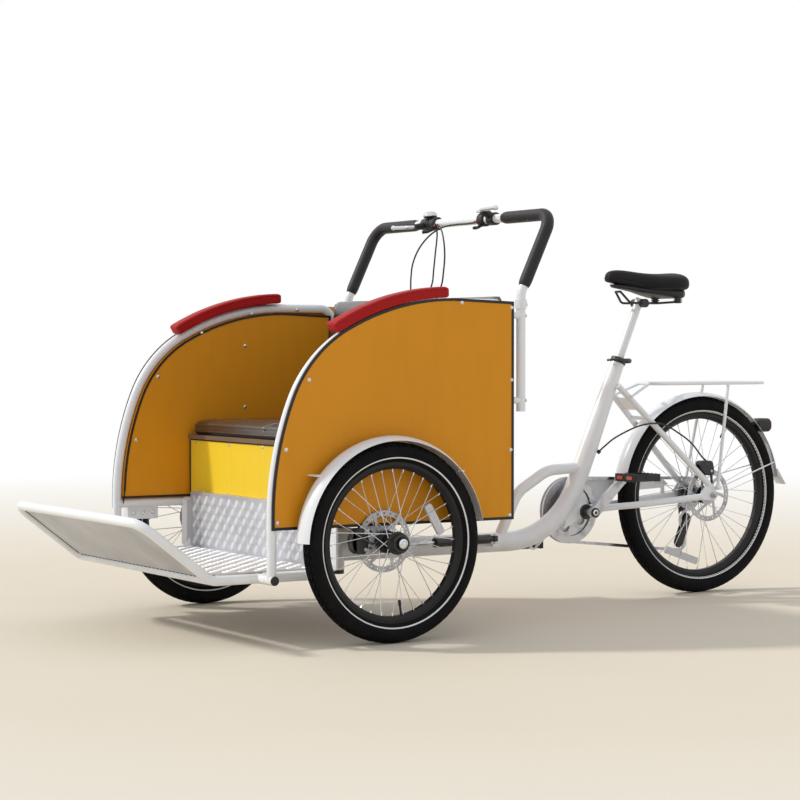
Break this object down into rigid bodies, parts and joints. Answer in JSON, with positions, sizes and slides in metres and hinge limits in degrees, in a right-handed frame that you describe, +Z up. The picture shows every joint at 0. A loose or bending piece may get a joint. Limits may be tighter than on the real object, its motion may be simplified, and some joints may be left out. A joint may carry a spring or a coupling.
{
  "type": "cycle rickshaw",
  "caption": "Pedal-driven passenger tricycle with a padded two-seat cabin steered in front, a sloping footboard, rear carrier and disc brakes.",
  "frame": {"origin": "on the ground under the middle of the whole vehicle's box", "axes": "+X forward towards the footboard, +Y to the rider's left, +Z up"},
  "size_m": [2.427, 1.158, 1.144],
  "materials": {
    "white_frame": "gloss white enamel",
    "yellow_panel": "satin ochre-yellow sheet",
    "yellow_riser": "satin yellow sheet",
    "aluminium_sheet": "bright tread plate",
    "black_metal": "satin black",
    "steel": "brushed",
    "wheel": "black rim and hub, bright spokes",
    "tyre": "matt black rubber",
    "black_vinyl": "black vinyl",
    "red_vinyl": "red vinyl",
    "foam": "black foam",
    "black_plastic": "matt black",
    "deck": "painted plywood",
    "white_plastic": "white chain guard",
    "cable": "black cable casing"
  },
  "bodies": {
    "rear_frame": {"main_frame": "white_frame", "rear_axle": "steel", "seat_post": "steel", "seat_clamp": "black_metal", "saddle": "black_vinyl", "saddle_rails": "black_metal", "rear_rack": "white_frame", "rear_fender": "white_frame", "chain": "steel", "derailleur": "black_metal", "chain_guard": "white_plastic", "rear_caliper": "black_metal", "rear_light": "black_plastic", "rear_hose": "cable"},
    "carriage": {"chassis": "white_frame", "headset": "black_metal", "axle_nut_left": "black_metal", "axle_nut_right": "black_metal", "hoop_left": "white_frame", "hoop_right": "white_frame", "floor_frame": "white_frame", "floor_plate": "aluminium_sheet", "apron_plate": "aluminium_sheet", "kick_plate": "aluminium_sheet", "seat_riser": "yellow_riser", "rear_panel": "yellow_panel", "seat_deck": "deck", "seat_cushion": "black_vinyl", "backrest": "black_vinyl", "side_panel_left": "yellow_panel", "side_panel_right": "yellow_panel", "armrest_left": "red_vinyl", "armrest_right": "red_vinyl", "front_fender_left": "white_frame", "front_fender_right": "white_frame", "front_caliper_left": "black_metal", "front_caliper_right": "black_metal", "handlebar": "white_frame", "foam_grip_left": "foam", "foam_grip_right": "foam", "hand_control_left": "black_plastic", "hand_control_right": "black_plastic", "cable_right": "cable", "cable_middle": "cable", "cable_left": "cable"},
    "front_wheel_assembly_left": {"front_tyre_left": "tyre", "front_wheel_left": "wheel", "front_rotor_left": "steel"},
    "front_wheel_assembly_right": {"front_tyre_right": "tyre", "front_wheel_right": "wheel", "front_rotor_right": "steel"},
    "rear_wheel_assembly": {"rear_tyre": "tyre", "rear_wheel": "wheel", "rear_rotor": "steel", "sprockets": "steel"},
    "crank_assembly": {"crankset": "steel"},
    "pedal_assembly_left": {"pedal_left": "black_plastic"},
    "pedal_assembly_right": {"pedal_right": "black_plastic"},
    "damper_cylinder": {"damper_body": "black_metal"},
    "damper_ram": {"damper_rod": "steel"}
  },
  "joints": [
    {"name": "steering", "type": "hinge", "parent": "rear_frame", "child": "carriage", "pos_m": [0.4125, 0, 0.211], "axis": [0, 0, 1], "range_deg": [-35, 35]},
    {"name": "front_wheel_left_spin", "type": "hinge", "parent": "carriage", "child": "front_wheel_assembly_left", "pos_m": [0.5555, 0.525, 0.257], "axis": [0, 1, 0], "continuous": true},
    {"name": "front_wheel_right_spin", "type": "hinge", "parent": "carriage", "child": "front_wheel_assembly_right", "pos_m": [0.5555, -0.525, 0.257], "axis": [0, 1, 0], "continuous": true},
    {"name": "rear_wheel_spin", "type": "hinge", "parent": "rear_frame", "child": "rear_wheel_assembly", "pos_m": [-0.8735, 0, 0.302], "axis": [0, 1, 0], "continuous": true},
    {"name": "crank_spin", "type": "hinge", "parent": "rear_frame", "child": "crank_assembly", "pos_m": [-0.4205, 0, 0.267], "axis": [0, 1, 0], "continuous": true},
    {"name": "pedal_left_spin", "type": "hinge", "parent": "crank_assembly", "child": "pedal_assembly_left", "pos_m": [-0.53569, 0.13, 0.37072], "axis": [0, 1, 0], "continuous": true},
    {"name": "pedal_right_spin", "type": "hinge", "parent": "crank_assembly", "child": "pedal_assembly_right", "pos_m": [-0.30531, -0.13, 0.16328], "axis": [0, 1, 0], "continuous": true},
    {"name": "damper_pivot", "type": "hinge", "parent": "rear_frame", "child": "damper_cylinder", "pos_m": [-0.0745, 0.062, 0.205], "axis": [0, 0, 1], "range_deg": [-4.5, 4.5]},
    {"name": "damper_stroke", "type": "slide", "parent": "damper_cylinder", "child": "damper_ram", "axis": [0.9937, 0.1117, 0], "range_m": [-0.066, 0.066]}
  ],
  "couplings": [
    {"joint": "damper_pivot", "follows": "steering", "ratio": -0.116},
    {"joint": "damper_stroke", "follows": "steering", "m_per_rad": -0.106}
  ]
}
